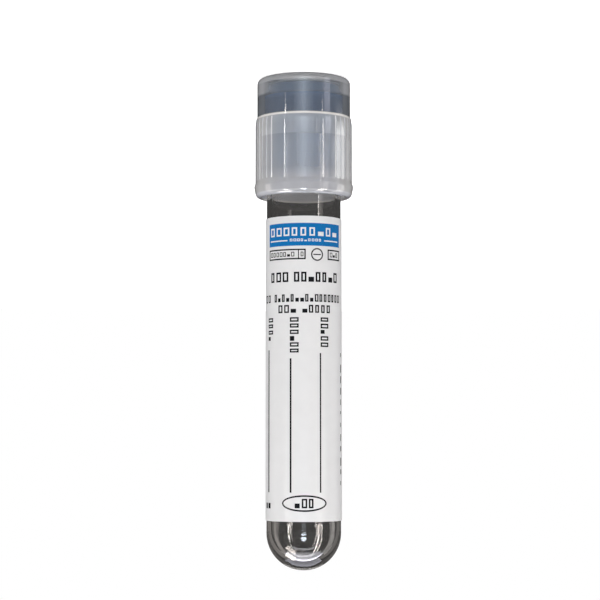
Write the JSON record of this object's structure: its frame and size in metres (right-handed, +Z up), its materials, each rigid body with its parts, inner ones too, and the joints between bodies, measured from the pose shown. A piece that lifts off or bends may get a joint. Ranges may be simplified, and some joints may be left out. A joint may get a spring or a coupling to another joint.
{
  "type": "blood collection tube",
  "caption": "Clear round-bottomed tube with a wrap-round label, closed by a rubber stopper under a translucent pull-off cap.",
  "frame": {"origin": "centre of the cap's flat top, which the part stands on", "axes": "+Z up along the tube's axis, from the cap's flat top to the round end; -Y is the label's front"},
  "size_m": [0.0172, 0.0172, 0.0853],
  "materials": {
    "clear_plastic": "clear, polished",
    "stopper_rubber": "smooth, matt",
    "cap_plastic": "translucent, satin",
    "label_film": "white film, printed in blue and black"
  },
  "bodies": {
    "closure": {"shield": "cap_plastic", "stopper": "stopper_rubber"},
    "vial": {"tube": "clear_plastic", "label": "label_film"}
  },
  "joints": [
    {"name": "pull_off", "type": "slide", "parent": "closure", "child": "vial", "axis": [0, 0, 1], "range_m": [0, 0.03]}
  ]
}
